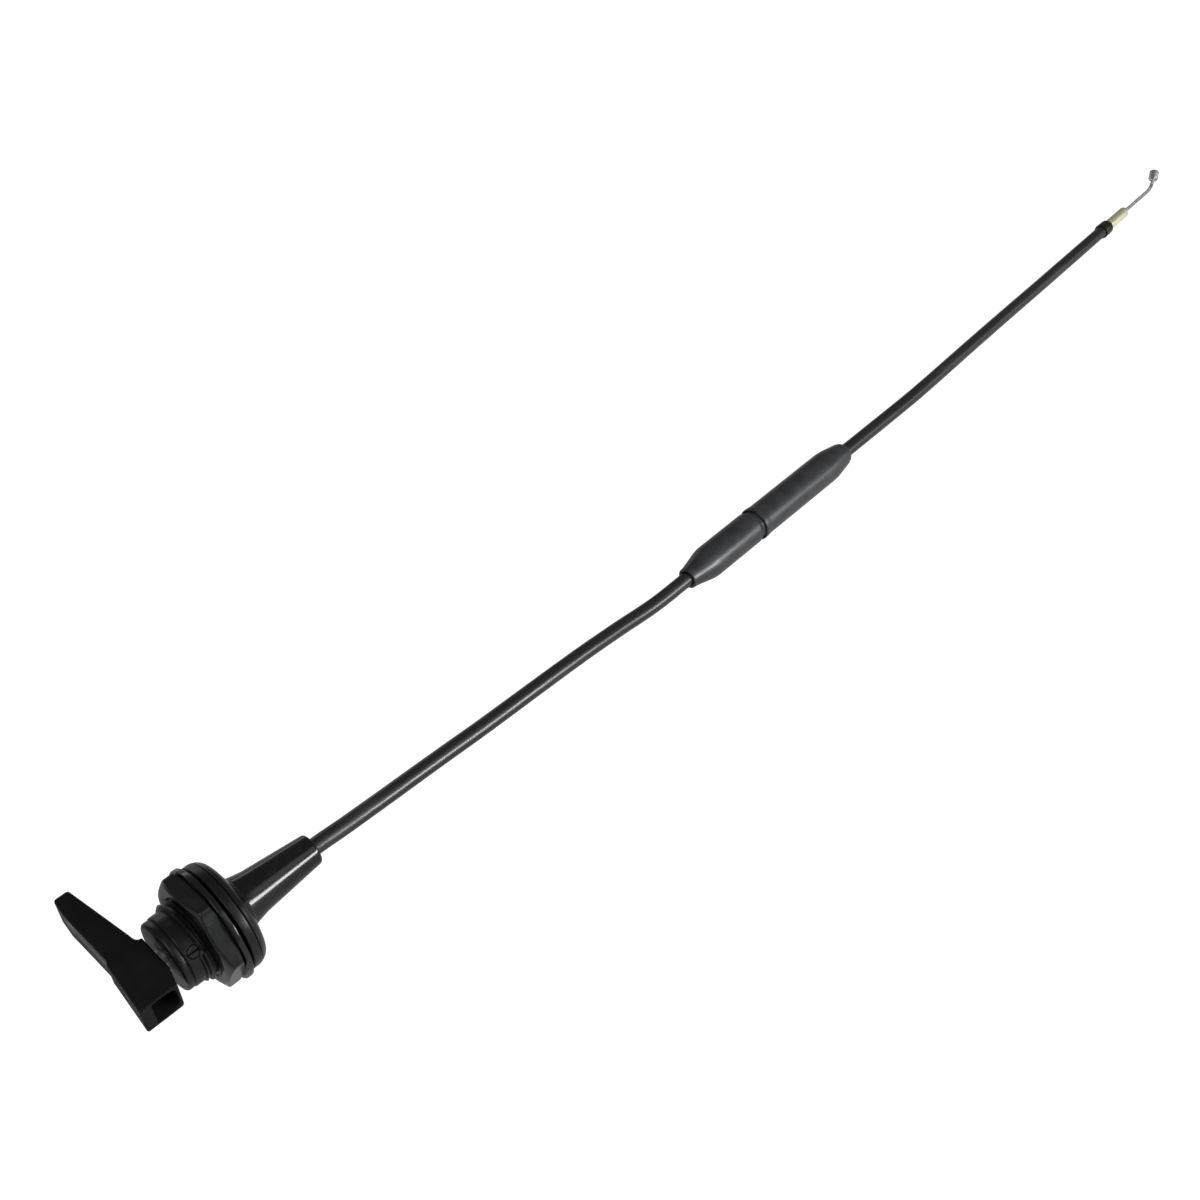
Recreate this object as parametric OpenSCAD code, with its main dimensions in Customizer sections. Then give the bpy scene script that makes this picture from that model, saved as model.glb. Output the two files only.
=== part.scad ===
// Push-pull choke control: a winged pull handle on a rod, a threaded panel housing with its nut and
// washer, a rubber boot, and a sheathed cable with an in-line length adjuster and a bare wire end.
// Millimetres. The origin is the centre of the flange's front face, which sits against the panel.
// +X runs from the housing along the cable, +Z is up, and the handle's wing points along +Y.

/* [Handle] */
// Reach of the wing's tip to the side of the rod
wing_reach = 32; // [26:0.5:40]
// Reach of the short block on the other side of the rod
block_reach = 11.8; // [11:0.2:15]
// Thickness of the handle between its broad faces
handle_t = 10; // [9:0.5:14]
// Depth of the wing at its tip, along the rod
tip_depth = 4.4; // [3.7:0.1:5.5]
// Depth of the wing halfway along
wing_depth = 7.3; // [6.4:0.1:8]
// Depth of the block at its open end
block_depth = 10.9; // [10:0.1:12]
// Radius that rounds the handle's edges
handle_edge = 0.8; // [0.5:0.1:1.2]
// Width of the hollow corner between the wing and the hub
wing_fillet = 3; // [2:0.1:4]
// Depth of that hollow corner, along the rod
wing_drop = 1.8; // [1.4:0.1:2.6]
// Wall on the front side of the block's pocket
pocket_front_wall = 3.2; // [2.4:0.1:3.6]
// Walls on the other sides of the block's pocket
pocket_wall = 0.8; // [0.7:0.1:1.4]
// Depth of the pocket in from the block's end
pocket_deep = 6.6; // [4:0.1:6.8]
// Gap between the pushed-in handle and the housing's nose
handle_gap = 1.4; // [0.8:0.1:3]
// Diameter of the cross pin that holds the rod in the handle
pin_d = 2; // [1.5:0.1:2.5]

/* [Rod] */
// Diameter of the pull rod
rod_d = 6; // [5:0.5:7]
// Length of the rod inside the handle
rod_grip = 9; // [8:0.5:10]
// Distance that the handle pulls out
pull_travel = 20; // [12:1:21]

/* [Housing] */
// Diameter of the plain collar at the housing's nose
collar_d = 21; // [20:0.2:22.6]
// Length of the collar at the housing's nose
collar_l = 5.4; // [5:0.2:7]
// Diameter of the thread that takes the panel nut
thread_d = 23.9; // [23.3:0.2:25.7]
// Length of the thread in front of the flange
thread_l = 10.8; // [10:0.2:16]
// Pitch of the panel nut's thread
thread_pitch = 2; // [1.5:0.25:2.5]
// Diameter of the flange behind the panel
flange_d = 32; // [31:0.2:38]
// Thickness of the flange
flange_t = 2.5; // [2:0.1:4]
// Length of the tail behind the flange that carries the boot
tail_l = 26.5; // [25.5:0.5:32]
// Diameter of the tail's thick end
tail_d = 11.6; // [11:0.2:12.2]
// Diameter of the tail's thin end
tail_end_d = 7.4; // [7:0.2:8.4]
// Outer diameter of the guide bush in the nose
bush_d = 9; // [8.4:0.2:9.6]
// Length of the guide bush
bush_l = 11.5; // [10:0.5:13]
// Thickness of the seal's ring
seal_d = 1.4; // [1.2:0.1:1.6]
// Angle of the detent screw round the rod, from +Y towards +Z
detent_angle = 141; // [110:1:160]
// Diameter of the detent ball
ball_d = 2.5; // [2:0.1:2.8]
// Diameter of the detent screw
detent_screw_d = 3.1; // [3:0.1:3.6]
// Length of the detent screw
detent_screw_l = 2.1; // [1.8:0.1:2.4]

/* [Nut and washer] */
// Width of the panel nut across its flats
nut_af = 30; // [28:0.5:34]
// Thickness of the panel nut
nut_t = 5; // [4:0.25:6]
// Angle of the nut's first corner, from +Y towards +Z
nut_angle = 51.8; // [0:0.1:60]
// Diameter of the washer
washer_d = 34; // [32:0.2:38]
// Thickness of the washer
washer_t = 1.5; // [1:0.1:2]
// Panel space left open between the washer and the flange
panel_space = 1; // [0.5:0.1:4]

/* [Boot] */
// Diameter of the boot's round base
boot_base_d = 31.6; // [30:0.2:37]
// Thickness of the boot's base
boot_base_t = 4.3; // [4.1:0.1:6]
// Radius of the base's rounded shoulder
boot_base_edge = 2.9; // [2.3:0.1:3.3]
// Diameter of the boot's tail just behind its base
boot_tail_d = 14.6; // [14.4:0.2:17]
// Diameter of the boot at the cable
boot_end_d = 9.2; // [9:0.1:11]
// Length of the boot past the housing's tail
boot_lip = 2.2; // [1.5:0.1:5]

/* [Cable] */
// Distance from the flange to the adjuster
near_reach = 190; // [150:5:250]
// Distance from the adjuster to the cap on the sheath's far end
far_reach = 289.5; // [220:0.5:400]
// Outer diameter of the sheath
sheath_d = 5; // [4.6:0.1:5.2]
// Diameter of the hole through the sheath
sheath_bore = 2.6; // [2.4:0.1:3]
// Diameter of the inner wire
wire_d = 1.5; // [1.2:0.1:1.7]
// Wall of the metal caps on the sheath's ends
cap_wall = 0.33; // [0.3:0.01:0.4]

/* [Adjuster] */
// Diameter of the adjuster's barrel and of the screw's head
barrel_d = 8.6; // [8.2:0.1:9]
// Length of the adjuster's barrel
barrel_l = 31; // [28:1:36]
// Diameter of the adjuster's screw
screw_d = 5; // [4:0.25:5.5]
// Length of the screw's thread
screw_l = 23; // [20:1:26]
// Length of the screw's head
screw_head_l = 10; // [9:0.5:12]
// Width of the lock nut across its flats
lock_af = 7.5; // [7:0.1:7.7]
// Thickness of the lock nut
lock_t = 4; // [3:0.25:5]
// Diameter of the rubber sleeves
sleeve_d = 11.5; // [11.4:0.1:13]
// Length of the short sleeve
short_l = 39; // [37:1:42]
// Length of the long sleeve
long_l = 54; // [51:1:58]
// Length of the short sleeve tucked into the long one
tuck_l = 3; // [2:0.5:4]
// Distance that the adjuster's barrel can be screwed out
adjust_travel = 3; // [2:0.5:5]

/* [Cable end] */
// Diameter of the cap on the sheath's far end
end_cap_d = 6.2; // [6:0.1:7]
// Length of the cap on the sheath's far end
end_cap_l = 5.8; // [5.5:0.1:8]
// Diameter of the ferrule
ferrule_d = 4.5; // [4.2:0.1:4.8]
// Length of the ferrule outside the cap
ferrule_l = 16.2; // [12:0.1:20]
// Length of the bare wire past its bend
bent_l = 4.2; // [4.2:0.1:8]
// Angle of the bend in the bare wire
bend_angle = 40; // [10:1:50]
// Radius of the bend in the bare wire
bend_r = 10; // [8:1:20]
// Direction of the bend round the wire, from +Y towards +Z
bend_turn = 60; // [0:5:180]
// Diameter of the nipple
nipple_d = 4; // [3:0.1:5]
// Length of the nipple
nipple_l = 4; // [3:0.1:4.2]

/* [Hidden] */
$fn = 48;

// Clearances
run_gap = 0.05;       // radial, a shaft that turns or slides in its hole
seat_gap = 0.03;      // pieces of one body that sit in each other
part_gap = 0.3;       // pieces of different bodies that only lie near each other
cut = 0.1;            // how far a cutting solid runs past the face that it cuts

// Places along the rod
nose_x = -(thread_l + collar_l);
handle_rear_x = nose_x - handle_gap;
rod_front_x = handle_rear_x - rod_grip;
tail_x = flange_t + tail_l;
bush_seat_x = nose_x + bush_l;
detent_x = -thread_l - 0.5;
seal_seat_x = bush_seat_x + seal_d + 2 * seat_gap;
tail_foot_x = flange_t + boot_base_t + 1;
cap_l = 8;
ferrule_seat_x = tail_x - cap_l - 0.5;
rod_bore_end_x = ferrule_seat_x - 2;
rod_end_x = rod_bore_end_x - 1;
washer_x = -panel_space - washer_t;
nut_x = washer_x - nut_t;
boot_end_x = tail_x + boot_lip;
wire_hole_d = sheath_bore;
cap_d = sheath_d + 2 * seat_gap + 2 * cap_wall;
wire_joint_x = 40;

// Places along the adjuster, measured along its own axis from where the sleeves begin
adj_x = near_reach;
adj_y = 4.95;
adj_z = -11.45;
adj_yaw = atan(0.038);
short_start = -1;
sleeve_bore = sheath_d + 2 * part_gap;
sleeve_wall = 1.1;
head_start = 7;
head_end = head_start + screw_head_l;
screw_end = head_end + screw_l;
lock_start = head_end + 8;
barrel_start = lock_start + lock_t + 0.2;
barrel_end = barrel_start + barrel_l;
cup_l = 10;
thread_hole_l = 15;
long_start = short_start + short_l - tuck_l;
long_end = long_start + long_l;

// Places at the cable's far end, measured from the start of the end cap
end_x = adj_x + far_reach;
end_y = 22.615;
end_z = -14.1;
end_yaw = atan(0.07);
sheath_in_cap = 3;
ferrule_start = sheath_in_cap + 0.1;
ferrule_end = end_cap_l + ferrule_l;
tip_inner_l = 22;
// the straight bare wire is long enough for the pull and the adjustment together
bare_l = pull_travel + adjust_travel + 0.5;
bend_start = ferrule_end + bare_l;

// The sheath's route. Its stations along x are given for the usual reaches, and a longer or a
// shorter reach spreads those between the fittings. At the fittings it runs straight.
near_spread = [[0, 0], [34, 34], [176, adj_x - 14], [206, adj_x + 16]];
far_spread = [[190, adj_x], [270, adj_x + 80], [446, end_x - 33.5], [484, end_x + 4.5]];
near_stations = [[ferrule_seat_x + 0.9, 0, 0], [34, 0, 0], [42, 0, -0.55], [50, 0.2, -1.1],
    [58, 0.4, -1.65], [68, 0.7, -2.3], [80, 1, -3.1], [92, 1.25, -3.9], [104, 1.6, -4.6],
    [116, 2.05, -5.35], [128, 2.6, -6.3], [140, 3.2, -7.5], [150, 3.7, -8.75], [158, 4.05, -9.8],
    [167, 4.25, -10.9], [176, 4.42, -11.45], [190, 4.95, -11.45], [204.19, 5.489, -11.45]];
far_stations = [[241, 6.89, -11.45], [258, 7.53, -11.45], [270, 7.99, -11.45],
    [282, 8.45, -11.45], [294, 8.9, -11.45], [312, 9.59, -11.45], [322, 10.05, -11.45],
    [332, 10.7, -11.48], [342, 11.48, -11.57], [354, 12.55, -11.85], [366, 13.7, -12.25],
    [378, 14.85, -12.75], [390, 15.95, -13.2], [402, 17, -13.6], [414, 17.95, -13.9],
    [424, 18.7, -14.05], [434, 19.43, -14.1], [446, 20.27, -14.1], [458, 21.11, -14.1],
    [470, 21.95, -14.1], [482.5, 22.825, -14.1]];
near_route = [for (p = near_stations) [lookup(p[0], near_spread), p[1], p[2]]];
far_route = [for (p = far_stations) [lookup(p[0], far_spread), p[1], p[2]]];
wire_route = concat([[wire_joint_x + 0.3, 0, -0.43]], [for (p = near_route) if (p[0] > 45) p],
    [[adj_x + 32, 6.17, -11.45]], [for (p = far_route) if (p[0] < end_x - 44.5) p]);

// Points on an arc round a centre, from one angle to another
function arc(centre, r, from, to, steps) =
    [for (i = [0 : steps]) let (a = from + (to - from) * i / steps) centre + r * [cos(a), sin(a)]];

// The tail's radius at a distance along the housing, which the boot follows too
function tail_r(x) = let (t = (x - tail_foot_x) / (tail_x - tail_foot_x))
    (tail_d + (tail_end_d - tail_d) * t) / 2;

// Rings of points round a route, and the triangles that join them into a tube
function unit(v) = v / norm(v);
function heading(p, i) = unit(p[min(i + 1, len(p) - 1)] - p[max(i - 1, 0)]);
function ring(p, i, r, sides) =
    let (t = heading(p, i), s = unit(cross(t, [0, 0, 1])), w = cross(s, t))
    [for (k = [0 : sides - 1]) let (a = 360 * k / sides) p[i] + r * (cos(a) * s + sin(a) * w)];
function rings(p, r, sides) = [for (i = [0 : len(p) - 1]) each ring(p, i, r, sides)];
function skin(first, count, sides, outward) =
    [for (i = [0 : count - 2], k = [0 : sides - 1])
        let (a = first + i * sides + k, b = first + i * sides + (k + 1) % sides,
             c = b + sides, d = a + sides)
        each (outward ? [[a, b, c], [a, c, d]] : [[a, c, b], [a, d, c]])];

// A tube with a hole along it
module hollow_sweep(route, r, hole_r, sides) {
    n = len(route);
    inner = n * sides;
    last = (n - 1) * sides;
    near_end = [for (k = [0 : sides - 1]) let (m = (k + 1) % sides)
        each [[k, inner + k, inner + m], [k, inner + m, m]]];
    far_end = [for (k = [0 : sides - 1]) let (m = (k + 1) % sides, o = last, q = inner + last)
        each [[o + k, o + m, q + m], [o + k, q + m, q + k]]];
    polyhedron(
        points = concat(rings(route, r, sides), rings(route, hole_r, sides)),
        faces = concat(skin(0, n, sides, true), skin(inner, n, sides, false), near_end, far_end));
}

// A solid through a row of sections, each a closed ring of points, and a solid tube
module loft(points, count, sides) {
    last = (count - 1) * sides;
    near_end = [for (k = [1 : sides - 2]) [0, k + 1, k]];
    far_end = [for (k = [1 : sides - 2]) [last, last + k, last + k + 1]];
    polyhedron(points = points, faces = concat(skin(0, count, sides, true), near_end, far_end));
}
module solid_sweep(route, r, sides) loft(rings(route, r, sides), len(route), sides);

// A solid of revolution about the x axis, from a profile of [radius, x] points
module turned(profile) rotate([0, 90, 0]) rotate_extrude() polygon(profile);

// A round bar or hole along the x axis
module bar(x0, x1, d) translate([x0, 0, 0]) rotate([0, 90, 0]) cylinder(h = x1 - x0, d = d);

// A hexagonal bar along the x axis, with its first corner at an angle from +Y towards +Z
module hex_bar(x0, x1, af, first) translate([x0, 0, 0]) rotate([first, 0, 0]) rotate([90, 0, 90])
    cylinder(h = x1 - x0, d = af / cos(30), $fn = 6);

// The frames that pieces off the housing's axis are drawn in
module radial(x, angle) translate([x, 0, 0]) rotate([angle - 90, 0, 0]) children();
module adjuster_frame() translate([adj_x, adj_y, adj_z]) rotate([0, 0, adj_yaw]) children();
module end_frame() translate([end_x, end_y, end_z]) rotate([0, 0, end_yaw]) children();
// The frame at the bend's end, turned along the bent wire
module bent_frame() translate([bend_start, 0, 0]) rotate([bend_turn, 0, 0])
    translate([bend_r * sin(bend_angle), bend_r * (1 - cos(bend_angle)), 0])
    rotate([0, 0, bend_angle]) children();

// Handle -------------------------------------------------------------------------------------

// The handle is lofted along Y: at each station its front and back edges are lines and arcs
handle_back_x = handle_rear_x - wing_drop;
block_rear_x = handle_rear_x - 1.5;
block_front_x = block_rear_x - block_depth;
tip_back_x = handle_back_x - 3.6;
mid_y = wing_reach / 2;
mid_back_x = handle_back_x - 1.1;
hub_side = rod_d / 2 + 2.8;

function handle_back(y) =
    y < -hub_side ? lookup(y, [[-block_reach, block_rear_x], [-hub_side, handle_rear_x]])
    : y < hub_side ? handle_rear_x
    : y < hub_side + wing_fillet
        ? handle_rear_x - wing_drop
            * sqrt(max(0, 1 - pow((hub_side + wing_fillet - y) / wing_fillet, 2)))
    : lookup(y, [[hub_side + wing_fillet, handle_back_x], [mid_y, mid_back_x],
        [wing_reach, tip_back_x]]);
// the block's front slants back to the hub's side, where the wing's front steps in behind it
function handle_front(y) = lookup(y, [[-block_reach, block_front_x],
    [hub_side, block_front_x + 1.75], [hub_side + 1.2, mid_back_x - wing_depth + 0.15],
    [mid_y, mid_back_x - wing_depth], [wing_reach - 6.5, mid_back_x - wing_depth - 0.2],
    [wing_reach, tip_back_x - tip_depth]]);

// A section across the handle, drawn in by an inset towards its ends
function handle_section(y, inset) =
    let (x0 = handle_front(y) + inset, x1 = handle_back(y) - inset, h = handle_t / 2 - inset,
         e = max(handle_edge - inset, 0.2))
    [for (c = [[x1 - e, h - e, 0], [x0 + e, h - e, 90], [x0 + e, e - h, 180], [x1 - e, e - h, 270]],
          a = [0 : 30 : 90]) [c[0] + e * cos(c[2] + a), y, c[1] + e * sin(c[2] + a)]];

module handle() {
    pocket_l = block_depth - pocket_front_wall - pocket_wall;
    pocket_h = handle_t - 2 * pocket_wall;
    corner = 2.2;
    block_edge = 0.4;
    ends = [90, 60, 30, 0];
    inner = [-block_reach + 2, -block_reach + 4, -hub_side, 0, hub_side,
        for (k = [1 : 6]) hub_side + wing_fillet * (1 - cos(15 * k)), mid_y, wing_reach - 6.5];
    stations = concat(
        [for (a = ends) [-block_reach + block_edge * (1 - sin(a)), block_edge * (1 - cos(a))]],
        [for (y = inner) [y, 0]],
        [for (k = [3 : -1 : 0]) [wing_reach - handle_edge * (1 - sin(ends[k])),
            handle_edge * (1 - cos(ends[k]))]]);
    color("#1b1b1d") difference() {
        loft([for (s = stations) each handle_section(s[0], s[1])], len(stations), 16);
        bar(rod_front_x - seat_gap, handle_rear_x + cut, rod_d + 2 * seat_gap);
        translate([handle_rear_x - rod_grip / 2, 0, -handle_t / 2 - cut])
            cylinder(h = handle_t - 1.5 + cut, d = pin_d + 2 * seat_gap);
        // the pocket in the block's end, which follows the block's back and has round corners there
        translate([block_front_x + pocket_front_wall, -block_reach - cut, -pocket_h / 2])
            union() {
                cube([pocket_l - corner, pocket_deep + cut, pocket_h]);
                translate([0, 0, corner])
                    cube([pocket_l, pocket_deep + cut, pocket_h - 2 * corner]);
                for (z = [corner, pocket_h - corner]) translate([pocket_l - corner, 0, z])
                    rotate([-90, 0, 0]) cylinder(h = pocket_deep + cut, r = corner);
            }
    }
}

module pull_rod() {
    wire_socket_l = 9;
    color("#b9bbbd") difference() {
        turned([[0, rod_front_x], [rod_d / 2 - 0.5, rod_front_x], [rod_d / 2, rod_front_x + 0.5],
            [rod_d / 2, rod_end_x - 0.5], [rod_d / 2 - 0.5, rod_end_x], [0, rod_end_x]]);
        bar(rod_end_x - wire_socket_l, rod_end_x + cut, wire_d + 2 * seat_gap);
        translate([handle_rear_x - rod_grip / 2, 0, -rod_d])
            cylinder(h = 2 * rod_d, d = pin_d + 2 * seat_gap);
    }
}

module handle_pin() {
    color("#9a9c9e") translate([handle_rear_x - rod_grip / 2, 0, -handle_t / 2 + 0.2])
        cylinder(h = handle_t - 1.9, d = pin_d);
}

module inner_wire_near() {
    color("#a7a9ab") bar(rod_end_x - 8.8, wire_joint_x, wire_d);
}

// Housing ------------------------------------------------------------------------------------

module housing() {
    c = collar_d / 2;
    t = thread_d / 2;
    f = flange_d / 2;
    color("#26272a") difference() {
        union() {
            turned(concat([[0, nose_x]],
                arc([c - 1, nose_x + 1], 1, -90, 0, 5),
                [[c, -thread_l], [t - 0.8, -thread_l], [t, -thread_l + 0.8], [t, 0], [f - 0.4, 0],
                 [f, 0.4], [f, flange_t - 0.4], [f - 0.4, flange_t], [tail_d / 2, flange_t],
                 [tail_r(tail_foot_x), tail_foot_x], [tail_r(tail_x), tail_x], [0, tail_x]]));
            // the rib that holds the boot's base
            bar(flange_t + 1.6, flange_t + 3, tail_d + 5);
        }
        bar(nose_x - cut, rod_bore_end_x, rod_d + 2 * run_gap);
        bar(nose_x - cut, seal_seat_x, bush_d + 2 * seat_gap);
        bar(rod_bore_end_x - cut, ferrule_seat_x + cut, wire_hole_d);
        bar(ferrule_seat_x, tail_x + cut, cap_d + 2 * seat_gap);
        radial(detent_x, detent_angle) cylinder(h = collar_d, d = detent_screw_d + 2 * seat_gap);
    }
}

module guide_bush() {
    color("#b08d4a") difference() {
        bar(nose_x, bush_seat_x, bush_d);
        bar(nose_x - cut, bush_seat_x + cut, rod_d + 2 * run_gap);
        radial(detent_x, detent_angle) cylinder(h = bush_d, d = ball_d + 2 * seat_gap);
    }
}

module rod_seal() {
    ring_r = rod_d / 2 + run_gap + seal_d / 2;
    color("#161616") translate([bush_seat_x + seat_gap + seal_d / 2, 0, 0]) rotate([0, 90, 0])
        rotate_extrude() translate([ring_r, 0]) circle(d = seal_d, $fn = 24);
}

// The ball, its spring and the screw that traps them lie on one line out from the rod
ball_r = rod_d / 2 + run_gap + ball_d / 2;
spring_start = ball_r + ball_d / 2 + seat_gap;
screw_top = collar_d / 2 - 0.15;
spring_end = screw_top - detent_screw_l - seat_gap;

module detent_ball() {
    color("#c9cbcd") radial(detent_x, detent_angle) translate([0, 0, ball_r])
        sphere(d = ball_d, $fn = 32);
}

module detent_spring() {
    spring_turns = 3;
    spring_wire = 0.4;
    steps = 10;
    coil_r = ball_d / 2 - spring_wire / 2 - 0.1;
    low = spring_start + spring_wire / 2;
    rise = spring_end - spring_start - spring_wire;
    route = [for (i = [0 : spring_turns * steps]) let (a = 360 * i / steps)
        [coil_r * cos(a), coil_r * sin(a), low + rise * i / (spring_turns * steps)]];
    color("#8f9194") radial(detent_x, detent_angle) solid_sweep(route, spring_wire / 2, 6);
}

module detent_screw() {
    color("#a5a7a9") radial(detent_x, detent_angle) difference() {
        translate([0, 0, screw_top - detent_screw_l]) cylinder(h = detent_screw_l, d = detent_screw_d);
        translate([-detent_screw_d, -0.3, screw_top - 0.7]) cube([2 * detent_screw_d, 0.6, 1]);
    }
}

module panel_washer() {
    r = washer_d / 2;
    color("#3a3b3e") difference() {
        turned([[0, washer_x], [r - 0.25, washer_x], [r, washer_x + 0.25],
            [r, washer_x + washer_t - 0.25], [r - 0.25, washer_x + washer_t],
            [0, washer_x + washer_t]]);
        bar(washer_x - cut, washer_x + washer_t + cut, thread_d + 0.6);
    }
}

module panel_nut() {
    r = nut_af / 2;
    corner = r / cos(30);
    gap = 0.05;
    x1 = washer_x - gap;
    color("#2b2c2f") difference() {
        intersection() {
            hex_bar(nut_x, x1, nut_af, nut_angle);
            // both faces are chamfered at the corners
            turned([[0, nut_x - cut], [r - 0.4, nut_x - cut], [r - 0.4, nut_x],
                [corner, nut_x + 1.3], [corner, x1 - 0.8], [r, x1], [r, x1 + cut], [0, x1 + cut]]);
        }
        bar(nut_x - cut, x1 + cut, thread_d + 2 * run_gap);
        // the hole's mouth is bevelled
        translate([nut_x - cut, 0, 0]) rotate([0, 90, 0])
            cylinder(h = 1, d1 = thread_d + 2, d2 = thread_d);
    }
}

module rubber_boot() {
    base_x = flange_t + boot_base_t;
    b = boot_base_d / 2;
    foot = boot_tail_d / 2;
    end = boot_end_d / 2;
    front = flange_t + seat_gap;
    slack = 2 * seat_gap;
    color("#1c1c1e") difference() {
        turned(concat([[0, front], [b - 0.3, front], [b, front + 0.3]],
            arc([b - boot_base_edge, base_x - boot_base_edge - 1.7], boot_base_edge, 15, 65, 6),
            arc([foot + 1, base_x + 1], 1, 255, 190, 5),
            [[foot - 0.25, base_x + 1.8], [foot - 0.95, base_x + 5.2], [end, boot_end_x - 0.4],
             [end - 0.5, boot_end_x], [0, boot_end_x]]));
        // the hollow that the housing's tail and its rib fill
        turned([[0, front - cut], [tail_d / 2 + slack, front - cut],
            [tail_r(tail_foot_x) + slack, tail_foot_x], [tail_r(tail_x) + slack, tail_x + seat_gap],
            [0, tail_x + seat_gap]]);
        bar(flange_t + 1.6 - seat_gap, flange_t + 3 + seat_gap, tail_d + 5 + slack);
        bar(tail_x, boot_end_x + cut, sheath_d + 2 * seat_gap);
    }
}

// A thin metal cap over the end of a sheath, open at one end and with a wire hole at the other.
// floor_x is the closed end, and mouth_x the open one.
module sheath_cap(floor_x, mouth_x) {
    floor_t = 0.6;
    side = mouth_x > floor_x ? 1 : -1;
    difference() {
        bar(min(floor_x, mouth_x), max(floor_x, mouth_x), cap_d);
        bar(min(floor_x + side * floor_t, mouth_x + side * cut),
            max(floor_x + side * floor_t, mouth_x + side * cut), sheath_d + 2 * seat_gap);
        bar(min(floor_x, mouth_x) - cut, max(floor_x, mouth_x) + cut, wire_hole_d);
    }
}

module near_ferrule() {
    color("#b3b5b7") sheath_cap(ferrule_seat_x + 0.05, ferrule_seat_x + cap_l);
}

// Cable --------------------------------------------------------------------------------------

module sheath_near() {
    color("#1f1f21") hollow_sweep(near_route, sheath_d / 2, sheath_bore / 2, 10);
}

module sheath_far() {
    color("#1f1f21") hollow_sweep(far_route, sheath_d / 2, sheath_bore / 2, 10);
}

module inner_wire_middle() {
    color("#a7a9ab") solid_sweep(wire_route, wire_d / 2, 8);
}

// Adjuster -----------------------------------------------------------------------------------

module near_cap() {
    color("#b3b5b7") adjuster_frame() sheath_cap(head_start + cap_l, head_start + 0.3);
}

module adjuster_screw() {
    color("#a9abad") adjuster_frame() difference() {
        union() {
            turned([[0, head_start], [barrel_d / 2 - 0.4, head_start],
                [barrel_d / 2, head_start + 0.4], [barrel_d / 2, head_end - 0.8],
                [screw_d / 2, head_end], [0, head_end]]);
            bar(head_end - 1, screw_end, screw_d);
        }
        bar(head_start - cut, head_start + cap_l + 0.05, cap_d + 2 * seat_gap);
        bar(head_start, screw_end + cut, wire_hole_d);
    }
}

module lock_nut() {
    corner = lock_af / 2 / cos(30);
    color("#c2a35c") adjuster_frame() difference() {
        intersection() {
            hex_bar(lock_start, lock_start + lock_t, lock_af, 0);
            turned([[0, lock_start], [lock_af / 2, lock_start], [corner, lock_start + 0.5],
                [corner, lock_start + lock_t - 0.5], [lock_af / 2, lock_start + lock_t],
                [0, lock_start + lock_t]]);
        }
        bar(lock_start - cut, lock_start + lock_t + cut, screw_d + 2 * run_gap);
    }
}

module adjuster_barrel() {
    cup_x = barrel_end - cup_l;
    grooves = 16;
    color("#a9abad") adjuster_frame() difference() {
        turned([[0, barrel_start], [barrel_d / 2 - 0.5, barrel_start],
            [barrel_d / 2, barrel_start + 0.5], [barrel_d / 2, barrel_end - 0.5],
            [barrel_d / 2 - 0.5, barrel_end], [0, barrel_end]]);
        bar(barrel_start - cut, barrel_start + thread_hole_l, screw_d + 2 * run_gap);
        bar(barrel_start, barrel_end, wire_hole_d);
        bar(cup_x, barrel_end + cut, cap_d + 2 * run_gap);
        // finger grooves along the barrel's grip
        for (k = [0 : grooves - 1]) rotate([360 * k / grooves, 0, 0])
            translate([0, barrel_d / 2 + 0.25, 0]) bar(barrel_start + 2, barrel_start + 12, 1);
    }
}

module far_cap() {
    cup_x = barrel_end - cup_l;
    color("#b3b5b7") adjuster_frame() sheath_cap(cup_x + 0.05, cup_x + cap_l);
}

module short_sleeve() {
    r = sleeve_d / 2;
    b = sleeve_bore / 2;
    mouth_x = short_start + short_l;
    neck_r = r - 0.55;
    color("#3d3e40") adjuster_frame() difference() {
        turned([[0, short_start], [b + 0.7, short_start], [b + 1.1, short_start + 0.4],
            [b + 1.1, short_start + 1.8], [b + 0.8, short_start + 2.4], [r - 0.3, short_start + 9],
            [r, short_start + 11], [r, long_start - 3], [neck_r, long_start - 0.5],
            [neck_r, mouth_x], [0, mouth_x]]);
        turned([[0, short_start - cut], [b, short_start - cut], [b, short_start + 5],
            [neck_r - 0.65, head_start - 0.6], [neck_r - 0.65, mouth_x + cut], [0, mouth_x + cut]]);
    }
}

module long_sleeve() {
    r = sleeve_d / 2;
    b = sleeve_bore / 2;
    mouth_r = r - 0.55 + part_gap;
    color("#434446") adjuster_frame() difference() {
        turned([[0, long_start], [r, long_start], [r + 0.25, long_start + 0.3],
            [r + 0.25, long_start + 1.6], [r, long_start + 3], [r, long_end - 14],
            [r - 0.3, long_end - 12], [b + 0.8, long_end - 2.4], [b + 1.1, long_end - 1.8],
            [b + 1.1, long_end - 0.4], [b + 0.7, long_end], [0, long_end]]);
        turned([[0, long_start - cut], [mouth_r, long_start - cut],
            [mouth_r, long_start + tuck_l + 1.5], [r - sleeve_wall, long_start + tuck_l + 3],
            [r - sleeve_wall, long_end - 15], [b, long_end - 8], [b, long_end + cut],
            [0, long_end + cut]]);
    }
}

// Cable end ----------------------------------------------------------------------------------

module end_cap() {
    r = end_cap_d / 2;
    lip_x = ferrule_start + 1.6;
    neck_d = ferrule_d - 0.6;
    color("#1d1d1f") end_frame() difference() {
        turned(concat([[0, 0], [r - 0.5, 0], [r, 0.5]],
            arc([r - 0.8, end_cap_l - 0.8], 0.8, 0, 90, 5), [[0, end_cap_l]]));
        bar(-cut, lip_x, sheath_d + 2 * seat_gap);
        bar(0, end_cap_l + cut, neck_d + 2 * seat_gap);
    }
}

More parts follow.
